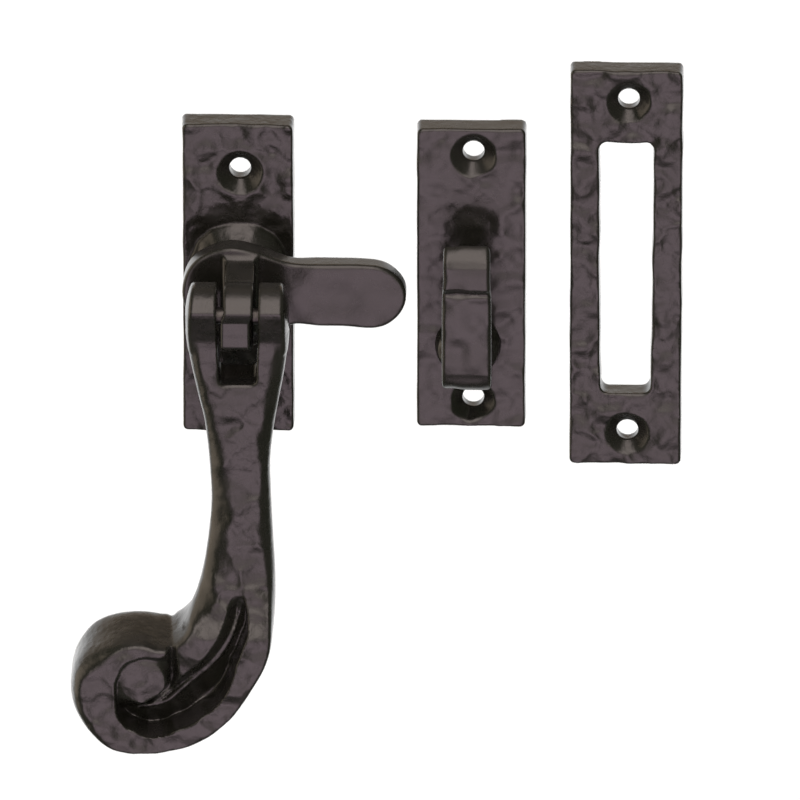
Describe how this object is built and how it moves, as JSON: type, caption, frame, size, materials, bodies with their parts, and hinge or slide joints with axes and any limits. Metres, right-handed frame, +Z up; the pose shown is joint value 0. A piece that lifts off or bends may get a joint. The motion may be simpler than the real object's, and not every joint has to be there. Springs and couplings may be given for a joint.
{
  "type": "casement window fastener set",
  "caption": "Black cast-iron casement window fastener with a curled tail handle and turning nose, with its hook plate and slotted mortice plate.",
  "frame": {"origin": "pivot axis of the nose where it meets the back of the backplate, midway between the backplate's two screw holes", "axes": "+Z up the backplate, +X from the pivot along the nose towards the loose plates, -Y out of the plates towards the user"},
  "size_m": [0.1161, 0.0285, 0.1331],
  "materials": {
    "black_cast_iron": "satin black coating over hammered castings",
    "dark_steel": "dark oiled steel"
  },
  "bodies": {
    "fastener_plate": {"backplate": "black_cast_iron", "spring_washer": "dark_steel"},
    "nose": {"nose": "black_cast_iron", "pivot_stud": "dark_steel", "retaining_washer": "dark_steel", "hinge_pin": "dark_steel"},
    "handle": {"handle": "black_cast_iron"},
    "hook_plate": {"hook_plate": "black_cast_iron", "hook": "black_cast_iron"},
    "mortice_plate": {"mortice_plate": "black_cast_iron"}
  },
  "joints": [
    {"name": "nose_turn", "type": "hinge", "parent": "fastener_plate", "child": "nose", "pos_m": [0, 0, 0], "axis": [0, -1, 0], "continuous": true},
    {"name": "handle_flip", "type": "hinge", "parent": "nose", "child": "handle", "pos_m": [0, -0.0215, 0], "axis": [-1, 0, 0], "range_deg": [0, 180]},
    {"name": "hook_plate_closing", "type": "slide", "parent": "fastener_plate", "child": "hook_plate", "axis": [-1, 0, 0], "range_m": [0, 0.018]},
    {"name": "mortice_plate_lift", "type": "slide", "parent": "fastener_plate", "child": "mortice_plate", "axis": [0, -1, 0], "range_m": [0, 0.06]}
  ]
}
